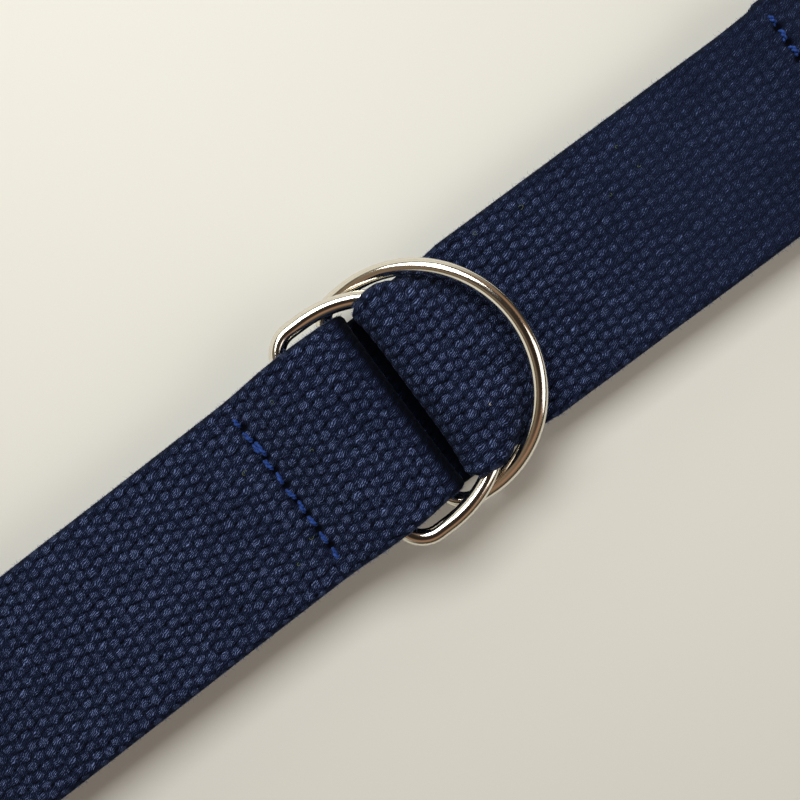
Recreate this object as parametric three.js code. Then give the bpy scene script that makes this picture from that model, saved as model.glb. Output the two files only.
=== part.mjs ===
// Double ring belt: one cotton webbing strap threaded through two D-rings and fastened,
// lying on its back as a long flat loop. Millimetres, +Z up, +X towards the free tongue.
// The origin is on the resting plane, under the middle of the belt.
import * as THREE from 'three';

// Webbing
const webbingWidth = 38;
const webbingThickness = 1.9;
const selvedgeRound = 0.9;        // how far in from the edge the woven selvedge is rounded
const clearance = 0.3;            // gap between webbing layers, and between webbing and wire

// D-rings, both alike, bent from one wire and welded in the bar
const wireDiameter = 3.0;
const ringPlay = 2.8;             // the rings are this much wider inside than the webbing
const ringDepthShare = 0.6446;    // inside, from the bar to the top of the arc, by the inside width
const ringCornerRadius = 4.9;     // to the middle of the wire
const wireSides = 12;

// Where the rings lie: the middle of each straight bar, and how the ring leans from it
const frontBarX = -3.6;
const frontBarHeight = 7.4;
const frontRingLean = 19.8;       // degrees, the arc end lies higher than the bar
const frontRingSideways = -0.3;
const barSpacingShare = 0.4429;   // from the front ring's bar back to the back ring's, by half a ring's width
const backBarHeight = 13.0;
const backRingLean = 0;
const backRingTurn = 0.5;         // degrees about the upright
const backRingSideways = -0.7;

// The fastened loop
const loopLength = 450;           // over both end bends
const endBendHeight = 17;         // outside, from the resting plane
const frontHollow = 8.4;          // between the back layer and the front layer, left of the rings
const tongueHollow = 4.3;         // between the back layer and the layer under the tongue
const endRise = 45;               // length in which a layer rises to an end bend

// The sewn loop that holds both rings
const sleeveLength = 22.2;        // from the front bar to the stitch line
const sleeveAllowance = 2.0;      // webbing past the stitch line
const noseRise = 1.4;             // the fold stands this much taller than a round one
const noseSlack = 0.3;            // and this much further out

// The tongue, turned back over the back ring and under the front ring
const tongueLength = 105;         // its end, measured from the middle of the belt
const hemLength = 15;
const foldReach = 3.4;            // middle of the webbing at the leftmost point of the turn
const foldDepth = 4.6;            // from there to where both layers run level
const foldHeadroom = 0.9;         // the turn stands this much above the back ring
const turnCurl = 0.8;             // its edges stand this much proud of its middle
const turnPinch = 0.905;          // and its width there, as a share of the flat width
const turnOpening = 0.995;        // the same share where the tongue leaves the turn
const turnEar = 0.8;              // its upper corners stand out this much more
const crestBefore = 0.25;         // the tongue starts down this far before the back ring's arc
const footBeyond = 1.2;           // and is level again this far past the front ring's
const turnSide = -0.4;            // sideways place of the turn

// The webbing drifts a little sideways as it lies
const frontDrift = 0.023;         // per mm left of the rings
const backBow = 0.1;              // the back layer bows towards this sideways place
const tongueSide = -0.3;

const halfThickness = webbingThickness / 2;
const layerPitch = webbingThickness + clearance;
const wireReach = wireDiameter / 2 + clearance + halfThickness;   // bar's middle to webbing's middle
const ringInsideWidth = webbingWidth + ringPlay;
const ringHalfWidth = (ringInsideWidth + wireDiameter) / 2;
const ringDepth = ringInsideWidth * ringDepthShare + wireDiameter;
const backBarX = frontBarX - ringHalfWidth * barSpacingShare;

// Heights of the middle of each layer
const backLevel = halfThickness;
const frontLevel = webbingThickness + frontHollow + halfThickness;
const flapLevel = frontLevel - layerPitch;
const underLevel = webbingThickness + tongueHollow + halfThickness;
const tongueLevel = underLevel + layerPitch;
const hemLevel = tongueLevel + layerPitch;
const sleeveLevel = backBarHeight + wireReach;
const noseBottom = frontBarHeight - wireReach;
const noseTop = frontBarHeight + wireReach + 2 * noseRise;
const turnLevel = backBarHeight + wireReach + foldHeadroom;
const endBendRadius = endBendHeight / 2 - halfThickness;
const endBendX = loopLength / 2 - endBendHeight / 2;

const mix = (from, to, share) => from + (to - from) * share;
const ease = (share) => share * share * (3 - 2 * share);
const degrees = THREE.MathUtils.degToRad;

// A row of the route: x and z of the webbing's middle and its sideways place, how far the two
// edges curl towards the left-hand side of the way, the width as a share of the flat width, and
// how closely the webbing drapes from the back ring's arc to the front ring's (0 or up to 1).
const route = [];
function pass(x, z, side, { curl = 0, width = 1, drape = 0 } = {}) {
  route.push({ x, z, side, curl, width, drape });
}

// A turn from one angle to another on an ellipse, in degrees, with rows at even angles. The curl
// and the pinch are at the ellipse's tip. In its upper half an ear adds to the curl of the corners,
// and opening is the width where that half runs level.
const pinchPower = 4;             // how soon the webbing is wide again on either side of the tip
function turn({
  x, z, reach, rise, from, to, rows, side, curl = 0, ear = 0, width = 1, opening = 1, drape = 0,
}) {
  for (let row = 0; row <= rows; row += 1) {
    const angle = degrees(mix(from, to, row / rows));
    const bulge = Math.abs(Math.cos(angle));
    const upper = Math.max(Math.sin(angle), 0);
    const half = upper > 0 ? 1 : 0;
    pass(x + reach * Math.cos(angle), z + rise * Math.sin(angle), side, {
      curl: curl * bulge + ear * 2 * bulge * upper,
      width: mix(mix(1, opening, half), width, bulge ** pinchPower),
      drape: drape * half,
    });
  }
}

// Under the sleeve: the flap runs from the stitches forward and down to the front bar.
// back: share of the sleeve's length behind the front bar. drop: share from flap level to bar.
const flapRows = [
  { back: 0.92, drop: 0.00 },
  { back: 0.70, drop: 0.03 },
  { back: 0.48, drop: 0.14 },
  { back: 0.24, drop: 0.58 },
];
const frontSide = (x) => tongueSide + frontDrift * (x - frontBarX);
pass(frontBarX - sleeveLength - sleeveAllowance, flapLevel, frontSide(-sleeveLength));
for (const { back, drop } of flapRows) {
  pass(frontBarX - back * sleeveLength, mix(flapLevel, noseBottom, drop), frontSide(-back * sleeveLength));
}

// Round the front bar, bulging at the edges to clear the ring's corners
const noseCurl = -0.45;
turn({
  x: frontBarX, z: (noseBottom + noseTop) / 2, reach: wireReach + noseSlack,
  rise: (noseTop - noseBottom) / 2, from: -90, to: 90, rows: 6, side: frontSide(0), curl: noseCurl,
});

// Over the back bar and down to the front layer.
// back: share of the sleeve's length. drop: share from the top of the sleeve to the front layer.
const sleeveRows = [
  { back: 0.25, drop: 0.03 },
  { back: 0.46, drop: 0.00 },
  { back: 0.64, drop: 0.20 },
  { back: 0.84, drop: 0.68 },
  { back: 1.03, drop: 0.93 },
  { back: 1.35, drop: 1.00 },
];
for (const { back, drop } of sleeveRows) {
  const x = frontBarX - back * sleeveLength;
  pass(x, mix(sleeveLevel, frontLevel, drop), frontSide(x));
}

// The front layer to the left end bend, round it, and along the back layer to the right one
const farFrontX = endRise - endBendX;
const bendTop = 2 * endBendRadius + backLevel;
const sleeveFootX = frontBarX - sleeveRows.at(-1).back * sleeveLength;
const frontStops = [0.35, 0.7, 0.95, 1.0];
for (const stop of frontStops) {
  const x = mix(sleeveFootX, farFrontX, stop);
  pass(x, frontLevel, frontSide(x));
}
const endSide = frontSide(farFrontX);
pass(mix(farFrontX, -endBendX, 0.5), mix(frontLevel, bendTop, 0.5), endSide);
const endBend = { z: endBendRadius + backLevel, reach: endBendRadius, rise: endBendRadius, rows: 8 };
turn({ ...endBend, x: -endBendX, from: 90, to: 270, side: endSide });
const backStops = [0.008, 0.03, 0.2, 0.35, 0.5, 0.65, 0.8, 0.97, 0.992];
for (const share of backStops) {
  const side = mix(mix(endSide, backBow, share), mix(backBow, tongueSide, share), share);
  pass(mix(-endBendX, endBendX, share), backLevel, side);
}
turn({ ...endBend, x: endBendX, from: -90, to: 90, side: tongueSide });

// The layer under the tongue comes back from the right end bend to the rings
const turnEndX = foldReach + foldDepth;
const farTongueX = endBendX - endRise;
pass(mix(endBendX, farTongueX, 0.5), mix(bendTop, underLevel, 0.5), tongueSide);
const underStops = [0.0, 0.06, 0.3, 0.6, 0.88];
for (const share of underStops) {
  pass(mix(farTongueX, turnEndX, share), underLevel, tongueSide);
}

// Up through both rings and back on itself. The back ring's arms pinch the edges here.
turn({
  x: turnEndX, z: (underLevel + turnLevel) / 2, reach: foldDepth,
  rise: (turnLevel - underLevel) / 2, from: 270, to: 90, rows: 8, side: turnSide,
  curl: turnCurl, ear: turnEar, width: turnPinch, opening: turnOpening, drape: 1,
});

// The tongue over the back ring, then under the front ring: it comes down between the two
// arcs, so its edges, where the arcs lie further back, come down before its middle.
// share: of the way from the end of the turn to level ground. width: of the flat width.
const crest = backBarX + ringDepth - crestBefore;
const foot = frontBarX + ringDepth * Math.cos(degrees(frontRingLean)) + footBeyond;
const tongueHeight = (x) => mix(
  turnLevel, tongueLevel, ease(THREE.MathUtils.clamp((x - crest) / (foot - crest), 0, 1)),
);
const arcSide = (frontRingSideways + backRingSideways) / 2;
const arcSetback = (across) => ringHalfWidth - Math.sqrt(Math.max(ringHalfWidth ** 2 - across ** 2, 0));
const tongueRows = [
  { share: 0.10, width: 0.970 },
  { share: 0.20, width: 0.920 },
  { share: 0.30, width: 0.895 },
  { share: 0.40, width: 0.910 },
  { share: 0.50, width: 0.955 },
  { share: 0.60, width: 0.980 },
  { share: 0.70, width: 0.990 },
  { share: 0.80, width: 1.000 },
  { share: 0.90, width: 1.000 },
  { share: 1.00, width: 1.000 },
];
for (const { share, width } of tongueRows) {
  const x = mix(turnEndX, foot, share);
  pass(x, tongueHeight(x), mix(turnSide, tongueSide, share), { width, drape: 1 });
}

// The hem: the end is turned under, so the last stretch is two layers thick
const hemStart = tongueLength - hemLength;
const hemFoldRadius = layerPitch / 2;
const hemFoldX = tongueLength - hemFoldRadius - halfThickness;
const tongueStops = [0.1, 0.35, 0.7, 0.93];
for (const share of tongueStops) {
  pass(mix(foot, hemStart, share), tongueLevel, tongueSide);
}
const hemStops = [0.1, 0.5];
for (const share of hemStops) pass(hemStart + share * hemLength, hemLevel, tongueSide);
turn({
  x: hemFoldX, z: (hemLevel + tongueLevel) / 2, reach: hemFoldRadius, rise: hemFoldRadius,
  from: 90, to: -90, rows: 6, side: tongueSide,
});
const hemBackStops = [0.5, 0.13];
for (const share of hemBackStops) pass(hemStart + share * hemLength, tongueLevel, tongueSide);

// Stations along the route: smooth between rows, closer together where the webbing bends
const stepAngle = degrees(11);
const stepLength = 30;
const justInside = 0.01;          // share of a span, clear of its ends
function routeStations(rows) {
  const line = new THREE.CatmullRomCurve3(
    rows.map(({ x, z, side }) => new THREE.Vector3(x, side, z)), false, 'centripetal',
  );
  const spans = rows.length - 1;
  const stations = [];
  for (let span = 0; span < spans; span += 1) {
    const startWay = line.getTangent((span + justInside) / spans);
    const middleWay = line.getTangent((span + 0.5) / spans);
    const endWay = line.getTangent((span + 1 - justInside) / spans);
    const bend = startWay.angleTo(middleWay) + middleWay.angleTo(endWay);
    const length = Math.hypot(rows[span + 1].x - rows[span].x, rows[span + 1].z - rows[span].z);
    const steps = Math.max(1, Math.ceil(bend / stepAngle), Math.ceil(length / stepLength));
    const last = span === spans - 1 ? 1 : 0;
    for (let step = 0; step < steps + last; step += 1) {
      const share = step / steps;
      const at = Math.min((span + share) / spans, 1);
      const way = line.getTangent(at);
      stations.push({
        point: line.getPoint(at),
        left: new THREE.Vector3(-way.z, 0, way.x).normalize(),
        curl: mix(rows[span].curl, rows[span + 1].curl, ease(share)),
        width: mix(rows[span].width, rows[span + 1].width, ease(share)),
        drape: mix(rows[span].drape, rows[span + 1].drape, share),
      });
    }
  }
  return stations;
}

// The middle surface of the webbing at a station, across from -1 to 1
const curlPower = 6;              // a curl keeps the middle flat
function middleSurface({ point, left, curl, width, drape }, across) {
  const sideways = across * (webbingWidth / 2) * width;
  const lift = curl * Math.abs(across) ** curlPower;
  const hang = tongueHeight(point.x + drape * arcSetback(point.y + sideways - arcSide)) - tongueHeight(point.x);
  return new THREE.Vector3(
    point.x + left.x * lift,
    point.y + sideways,
    point.z + left.z * lift + (drape > 0 ? hang : 0),
  );
}

// The flat section of the webbing, once round: across and thick as shares of the half width
// and half thickness, with a rounded selvedge.
const shoulderShare = 0.3;        // of the rounding, from the edge to its shoulder
const shoulderThick = 0.7;
function sectionOutline() {
  const halfWidth = webbingWidth / 2;
  const inner = 1 - selvedgeRound / halfWidth;
  const shoulder = 1 - (shoulderShare * selvedgeRound) / halfWidth;
  const face = [inner, 0.84, 0.7, 0.48, 0, -0.48, -0.7, -0.84, -inner];
  const upper = face.map((across) => ({ across, thick: 1 }));
  const lower = [...face].reverse().map((across) => ({ across, thick: -1 }));
  return [
    ...upper,
    { across: -shoulder, thick: shoulderThick }, { across: -1, thick: 0 }, { across: -shoulder, thick: -shoulderThick },
    ...lower,
    { across: shoulder, thick: -shoulderThick }, { across: 1, thick: 0 }, { across: shoulder, thick: shoulderThick },
  ];
}

// One section: the outline set off square to the middle surface, which the neighbouring
// stations and a small step across give.
const acrossStep = 0.02;
function sectionPoints(stations, index, outline) {
  const before = stations[Math.max(index - 1, 0)];
  const after = stations[Math.min(index + 1, stations.length - 1)];
  return outline.map(({ across, thick }) => {
    const middle = middleSurface(stations[index], across);
    const onward = middleSurface(after, across).sub(middleSurface(before, across));
    const sideways = middleSurface(stations[index], across + acrossStep)
      .sub(middleSurface(stations[index], across - acrossStep));
    const outward = sideways.cross(onward).normalize().negate();
    return middle.addScaledVector(outward, thick * halfThickness);
  });
}

// A closed body through a row of sections, capped at both ends
function loft(sections) {
  const positions = [];
  const indices = [];
  const around = sections[0].length;
  for (const section of sections) {
    for (const point of section) positions.push(point.x, point.y, point.z);
  }
  for (let row = 0; row < sections.length - 1; row += 1) {
    for (let column = 0; column < around; column += 1) {
      const next = (column + 1) % around;
      const a = row * around + column;
      const b = row * around + next;
      const c = a + around;
      const d = b + around;
      indices.push(a, b, d, a, d, c);
    }
  }
  const caps = [{ section: sections[0], first: 0, flip: false },
    { section: sections.at(-1), first: (sections.length - 1) * around, flip: true }];
  for (const { section, first, flip } of caps) {
    const middle = section.reduce((sum, point) => sum.add(point), new THREE.Vector3()).divideScalar(around);
    const hub = positions.length / 3;
    positions.push(middle.x, middle.y, middle.z);
    for (let column = 0; column < around; column += 1) {
      const next = (column + 1) % around;
      if (flip) indices.push(hub, first + column, first + next);
      else indices.push(hub, first + next, first + column);
    }
  }
  const geometry = new THREE.BufferGeometry();
  geometry.setAttribute('position', new THREE.Float32BufferAttribute(positions, 3));
  geometry.setIndex(indices);
  geometry.computeVertexNormals();
  return geometry;
}

function strapGeometry() {
  const outline = sectionOutline();
  const stations = routeStations(route);
  return loft(stations.map((station, index) => sectionPoints(stations, index, outline)));
}

// The middle line of a D-ring in its own plane: the bar on x = 0, the arc towards +x
function ringPath() {
  const arcX = ringDepth - ringHalfWidth;
  const cornerY = ringHalfWidth - ringCornerRadius;
  const path = new THREE.Path();
  path.moveTo(0, 0);
  path.lineTo(0, -cornerY);
  path.absarc(ringCornerRadius, -cornerY, ringCornerRadius, Math.PI, 1.5 * Math.PI, false);
  path.lineTo(arcX, -ringHalfWidth);
  path.absarc(arcX, 0, ringHalfWidth, -Math.PI / 2, Math.PI / 2, false);
  path.lineTo(ringCornerRadius, ringHalfWidth);
  path.absarc(ringCornerRadius, cornerY, ringCornerRadius, Math.PI / 2, Math.PI, false);
  path.closePath();
  return path;
}

// A round wire swept along the closed middle line, with its seam in the bar
const ringCornerSteps = 6;
const ringArcSteps = 28;
function ringGeometry() {
  const stops = [];
  for (const piece of ringPath().curves) {
    const isArc = piece instanceof THREE.EllipseCurve;
    const steps = !isArc ? 1 : (piece.xRadius === ringCornerRadius ? ringCornerSteps : ringArcSteps);
    for (let step = 0; step < steps; step += 1) {
      const share = step / steps;
      stops.push({ point: piece.getPoint(share), way: piece.getTangent(share) });
    }
  }
  const positions = [];
  const indices = [];
  for (const { point, way } of stops) {
    for (let side = 0; side < wireSides; side += 1) {
      const angle = (2 * Math.PI * (side + 0.5)) / wireSides;
      const out = (wireDiameter / 2) * Math.cos(angle);
      positions.push(point.x + way.y * out, point.y - way.x * out, (wireDiameter / 2) * Math.sin(angle));
    }
  }
  for (let stop = 0; stop < stops.length; stop += 1) {
    const after = (stop + 1) % stops.length;
    for (let side = 0; side < wireSides; side += 1) {
      const next = (side + 1) % wireSides;
      const a = stop * wireSides + side;
      const b = stop * wireSides + next;
      const c = after * wireSides + side;
      const d = after * wireSides + next;
      indices.push(a, d, b, a, c, d);
    }
  }
  const geometry = new THREE.BufferGeometry();
  geometry.setAttribute('position', new THREE.Float32BufferAttribute(positions, 3));
  geometry.setIndex(indices);
  geometry.computeVertexNormals();
  return geometry;
}

const webbingMaterial = new THREE.MeshStandardMaterial({ color: 0x1f2a4e, roughness: 0.95, metalness: 0 });
const nickelMaterial = () => new THREE.MeshStandardMaterial({ color: 0xcfc8ba, roughness: 0.18, metalness: 1 });

function ring(name, { x, y, z, lean, turned }) {
  const mesh = new THREE.Mesh(ringGeometry(), nickelMaterial());
  mesh.name = name;
  mesh.position.set(x, y, z);
  mesh.rotation.order = 'ZYX';
  mesh.rotation.set(0, -degrees(lean), degrees(turned));
  return mesh;
}

const belt = new THREE.Group();
const strap = new THREE.Mesh(strapGeometry(), webbingMaterial);
strap.name = 'webbing_strap';
belt.add(strap);
belt.add(ring('front_ring', {
  x: frontBarX, y: frontRingSideways, z: frontBarHeight, lean: frontRingLean, turned: 0,
}));
belt.add(ring('back_ring', {
  x: backBarX, y: backRingSideways, z: backBarHeight, lean: backRingLean, turned: backRingTurn,
}));

const reach = new THREE.Box3().setFromObject(belt);
belt.position.y = -(reach.min.y + reach.max.y) / 2;

export default belt;
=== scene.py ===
# A double ring belt: cotton webbing threaded through two D-rings and fastened, lying on its back.
# Sizes are in millimetres, as in the part's source, and turn into metres where a mesh is made.
import itertools
import math
import bpy
import numpy as np
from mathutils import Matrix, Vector


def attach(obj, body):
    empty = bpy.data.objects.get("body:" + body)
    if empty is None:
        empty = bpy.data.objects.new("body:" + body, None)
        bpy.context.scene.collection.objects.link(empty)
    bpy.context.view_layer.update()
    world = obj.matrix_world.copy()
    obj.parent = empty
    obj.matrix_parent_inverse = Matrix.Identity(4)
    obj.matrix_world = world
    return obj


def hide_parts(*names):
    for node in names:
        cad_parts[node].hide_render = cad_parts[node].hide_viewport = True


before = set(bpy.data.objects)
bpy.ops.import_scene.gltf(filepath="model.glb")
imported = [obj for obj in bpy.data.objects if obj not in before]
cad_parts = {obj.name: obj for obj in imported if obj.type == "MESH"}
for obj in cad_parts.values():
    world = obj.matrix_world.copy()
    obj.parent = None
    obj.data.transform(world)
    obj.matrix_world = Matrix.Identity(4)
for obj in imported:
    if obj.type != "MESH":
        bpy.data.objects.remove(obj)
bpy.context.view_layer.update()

# The two D-rings are alike: round steel wire bent to a D, welded in the bar and nickel-plated.
# Both bars are sewn into the strap's end. The front ring leans on the tongue, and the back ring
# lies level inside the tongue's turn.
webbing_width = 38.0
wire_diameter = 3.0
wire_sides = 28
ring_inside_width = webbing_width + 2.8
ring_inside_depth = ring_inside_width * 0.6446
ring_corner_radius = 4.9
front_bar_x = -3.6
front_bar_height = 7.4
front_ring_lean = math.radians(19.8)
front_ring_sideways = -0.3
back_bar_height = 13.0
back_ring_turn = math.radians(0.5)
back_ring_sideways = -0.7
belt_side = 0.5059             # moves the whole belt's middle onto the frame's X axis

ring_half_width = (ring_inside_width + wire_diameter) / 2
ring_depth = ring_inside_depth + wire_diameter
back_bar_x = front_bar_x - ring_half_width * 0.4429


def mix(start, end, share):
    return start + (end - start) * share


def ring_line():
    """The wire's middle line in the ring's plane: the bar on x = 0, the arc towards +x."""
    arc_x = ring_depth - ring_half_width
    corner_y = ring_half_width - ring_corner_radius
    line = []
    for share in np.linspace(0.0, 1.0, 13)[:-1]:
        line.append((0.0, mix(corner_y, -corner_y, share)))
    for angle in np.linspace(math.pi, 1.5 * math.pi, 13)[:-1]:
        line.append((ring_corner_radius * (1 + math.cos(angle)),
                     -corner_y + ring_corner_radius * math.sin(angle)))
    line.append((ring_corner_radius, -ring_half_width))
    for angle in np.linspace(-math.pi / 2, math.pi / 2, 97):
        line.append((arc_x + ring_half_width * math.cos(angle), ring_half_width * math.sin(angle)))
    for angle in np.linspace(math.pi / 2, math.pi, 13)[:-1]:
        line.append((ring_corner_radius * (1 + math.cos(angle)),
                     corner_y + ring_corner_radius * math.sin(angle)))
    return np.array(line)


def ring_mesh(bar, lean, turn):
    """The wire's points and faces, with the ring's bar in its place, leaned back and turned."""
    line = ring_line()
    way = np.roll(line, -1, 0) - np.roll(line, 1, 0)
    way /= np.linalg.norm(way, axis=1)[:, None]
    angle = 2 * np.pi * np.arange(wire_sides) / wire_sides
    out = np.cos(angle) * wire_diameter / 2
    up = np.sin(angle) * wire_diameter / 2
    x = line[:, 0:1] + way[:, 1:2] * out
    y = line[:, 1:2] - way[:, 0:1] * out
    z = np.broadcast_to(up, x.shape)
    leaned_x = x * math.cos(lean) - z * math.sin(lean)
    leaned_z = x * math.sin(lean) + z * math.cos(lean)
    points = np.stack([bar[0] + leaned_x * math.cos(turn) - y * math.sin(turn),
                       bar[1] + leaned_x * math.sin(turn) + y * math.cos(turn) + belt_side,
                       bar[2] + leaned_z], 2)
    index = np.arange(x.size).reshape(x.shape)
    ahead = np.roll(index, -1, 0)
    faces = np.stack([index, ahead, np.roll(ahead, -1, 1), np.roll(index, -1, 1)], 2)
    return points.reshape(-1, 3), faces.reshape(-1, 4).tolist()


def make_piece(name, points, faces, material, values=()):
    """A smooth-shaded piece from points in millimetres. It rides on the belt's one body."""
    mesh = bpy.data.meshes.new(name)
    mesh.from_pydata((np.asarray(points) * 0.001).tolist(), [], faces)
    for label, kind, data in values:
        made = mesh.attributes.new(label, kind, "POINT")
        field = "vector" if kind == "FLOAT_VECTOR" else "value"
        made.data.foreach_set(field, np.ravel(data).astype(np.float32))
    mesh.polygons.foreach_set("use_smooth", np.ones(len(mesh.polygons), bool))
    mesh.materials.append(material)
    mesh.update()
    piece = bpy.data.objects.new(name, mesh)
    bpy.context.scene.collection.objects.link(piece)
    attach(piece, "root")
    return piece


def arithmetic(operation, reflected=False):
    """An operator between a Wire and a number or another Wire, which adds one Math node."""
    def operate(wire, other):
        values = (other, wire) if reflected else (wire, other)
        return wire.node("Math", {"operation": operation}, dict(enumerate(values)))
    return operate


class Wire:
    """An output of a material's nodes. Arithmetic on it adds Math nodes."""

    def __init__(self, tree, socket=None):
        self.tree = tree
        self.socket = socket

    def node(self, kind, settings=None, inputs=None, output=0):
        """Adds a node of a kind, sets its settings first, then its sockets, and gives one output."""
        made = self.tree.nodes.new("ShaderNode" + kind)
        for name, value in (settings or {}).items():
            if name == "stops":
                ramp = made.color_ramp
                while len(ramp.elements) < len(value):
                    ramp.elements.new(0.5)
                for element, (place, colour) in zip(ramp.elements, value):
                    element.position = place
                    element.color = (*colour, 1)
            else:
                setattr(made, name, value)
        for name, value in (inputs or {}).items():
            if isinstance(value, Wire):
                self.tree.links.new(value.socket, made.inputs[name])
            else:
                made.inputs[name].default_value = value
        return Wire(self.tree, made.outputs[output])

    __add__ = arithmetic("ADD")
    __radd__ = arithmetic("ADD", reflected=True)
    __sub__ = arithmetic("SUBTRACT")
    __rsub__ = arithmetic("SUBTRACT", reflected=True)
    __mul__ = arithmetic("MULTIPLY")
    __rmul__ = arithmetic("MULTIPLY", reflected=True)
    __truediv__ = arithmetic("DIVIDE")
    __rtruediv__ = arithmetic("DIVIDE", reflected=True)
    __pow__ = arithmetic("POWER")
    __rpow__ = arithmetic("POWER", reflected=True)

    def __abs__(self):
        return self.node("Math", {"operation": "ABSOLUTE"}, {0: self})


def start_material(name):
    """A new material, its Principled shader, and a Wire to make its nodes with."""
    material = bpy.data.materials.new(name)
    material.use_nodes = True
    return material, material.node_tree.nodes["Principled BSDF"], Wire(material.node_tree)


def plug(wire, shader, socket):
    wire.tree.links.new(wire.socket, shader.inputs[socket])


nickel, nickel_shader, maker = start_material("nickel_plated_wire")
place = maker.node("TexCoord", output="Object")
haze = maker.node("TexNoise", None, {"Vector": place, "Scale": 260.0, "Detail": 4.0})
rub = maker.node("TexNoise", None, {"Vector": place, "Scale": 1400.0, "Detail": 3.0})
plug(0.07 + haze * 0.12, nickel_shader, "Roughness")
rub_bump = maker.node("Bump", None, {"Strength": 0.15, "Distance": 0.00005, "Height": rub})
plug(rub_bump, nickel_shader, "Normal")
nickel_shader.inputs["Base Color"].default_value = (0.80, 0.755, 0.67, 1)
nickel_shader.inputs["Metallic"].default_value = 1.0

ring_rows = (
    # the ring, the middle of its bar, how far it leans back and how far it is turned
    ("front_ring", (front_bar_x, front_ring_sideways, front_bar_height), front_ring_lean, 0.0),
    ("back_ring", (back_bar_x, back_ring_sideways, back_bar_height), 0.0, back_ring_turn),
)
for node_name, bar, lean, turn in ring_rows:
    ring_piece = make_piece(node_name + "_wire", *ring_mesh(bar, lean, turn), nickel)
    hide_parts(node_name)

# The strap is one length of plain-woven navy cotton webbing. Its sewn end is folded round both
# ring bars, it runs out to the left, round the waist and back under the rings, and its other end
# comes up through both rings, turns back over the back one and passes under the front one.
webbing_thickness = 1.9
selvedge_round = 0.9
clearance = 0.3
loop_length = 450.0
end_bend_height = 17.0
front_hollow = 8.4
tongue_hollow = 4.3
end_rise = 45.0
sleeve_length = 22.2
sleeve_allowance = 2.0
nose_rise = 1.4
nose_slack = 0.3
nose_curl = -0.45
tongue_length = 105.0
hem_length = 15.0
fold_reach = 3.4
fold_depth = 4.6
fold_headroom = 0.9
turn_side = -0.4
turn_curl = 0.8
turn_pinch = 0.905
turn_opening = 0.995
turn_ear = 0.8
front_drift = 0.023
back_bow = 0.1
tongue_side = -0.3

half_thickness = webbing_thickness / 2
layer_pitch = webbing_thickness + clearance
wire_reach = wire_diameter / 2 + clearance + half_thickness
back_level = half_thickness
front_level = webbing_thickness + front_hollow + half_thickness
flap_level = front_level - layer_pitch
under_level = webbing_thickness + tongue_hollow + half_thickness
tongue_level = under_level + layer_pitch
hem_level = tongue_level + layer_pitch
sleeve_level = back_bar_height + wire_reach
nose_bottom = front_bar_height - wire_reach
nose_top = front_bar_height + wire_reach + 2 * nose_rise
turn_level = back_bar_height + wire_reach + fold_headroom
end_bend_radius = end_bend_height / 2 - half_thickness
end_bend_x = loop_length / 2 - end_bend_height / 2
hem_start = tongue_length - hem_length
hem_bend_x = tongue_length - layer_pitch / 2 - half_thickness


def ease(share):
    return share * share * (3 - 2 * share)


strap_route = []


def lay_strap(x, z, side, curl=0.0, width=1.0, drape=0.0):
    """A row of the strap's route: the webbing's middle, and how it is curled, pinched and draped."""
    strap_route.append((x, side, z, curl, width, drape))


def turn_strap(x, z, reach, rise, start, end, rows, side,
               curl=0.0, ear=0.0, width=1.0, opening=1.0, drape=0.0):
    """Rows round an ellipse. Curl and pinch are strongest where the webbing stands upright."""
    for row in range(rows + 1):
        angle = math.radians(mix(start, end, row / rows))
        bulge = abs(math.cos(angle))
        upper = max(math.sin(angle), 0.0)
        half = 1.0 if upper > 0 else 0.0
        lay_strap(x + reach * math.cos(angle), z + rise * math.sin(angle), side,
                  curl * bulge + ear * 2 * bulge * upper,
                  mix(mix(1, opening, half), width, bulge ** 4), drape * half)


def front_side(x):
    return tongue_side + front_drift * (x - front_bar_x)


# the flap under the sleeve, from its cut end to the front ring's bar
lay_strap(front_bar_x - sleeve_length - sleeve_allowance, flap_level, front_side(-sleeve_length))
for back, drop in ((0.92, 0.0), (0.70, 0.03), (0.48, 0.14), (0.24, 0.58)):
    lay_strap(front_bar_x - back * sleeve_length, mix(flap_level, nose_bottom, drop),
              front_side(-back * sleeve_length))
nose_row = len(strap_route)
turn_strap(front_bar_x, (nose_bottom + nose_top) / 2, wire_reach + nose_slack,
           (nose_top - nose_bottom) / 2, -90, 90, 6, front_side(0), curl=nose_curl)
# the top of the sleeve, over the back ring's bar and down to the front layer
for back, drop in ((0.25, 0.03), (0.46, 0.0), (0.64, 0.20), (0.84, 0.68), (1.03, 0.93), (1.35, 1.0)):
    x = front_bar_x - back * sleeve_length
    lay_strap(x, mix(sleeve_level, front_level, drop), front_side(x))
sleeve_foot_x = strap_route[-1][0]
far_front_x = end_rise - end_bend_x
bend_top = 2 * end_bend_radius + back_level
for share in (0.35, 0.7, 0.95, 1.0):
    x = mix(sleeve_foot_x, far_front_x, share)
    lay_strap(x, front_level, front_side(x))
# round the left bend, along the back layer and round the right bend
left_rise_row = len(strap_route)
end_side = front_side(far_front_x)
lay_strap(mix(far_front_x, -end_bend_x, 0.5), mix(front_level, bend_top, 0.5), end_side)
turn_strap(-end_bend_x, end_bend_radius + back_level, end_bend_radius, end_bend_radius,
           90, 270, 8, end_side)
for share in (0.008, 0.03, 0.2, 0.35, 0.5, 0.65, 0.8, 0.97, 0.992):
    side = mix(mix(end_side, back_bow, share), mix(back_bow, tongue_side, share), share)
    lay_strap(mix(-end_bend_x, end_bend_x, share), back_level, side)
turn_strap(end_bend_x, end_bend_radius + back_level, end_bend_radius, end_bend_radius,
           -90, 90, 8, tongue_side)
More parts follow.
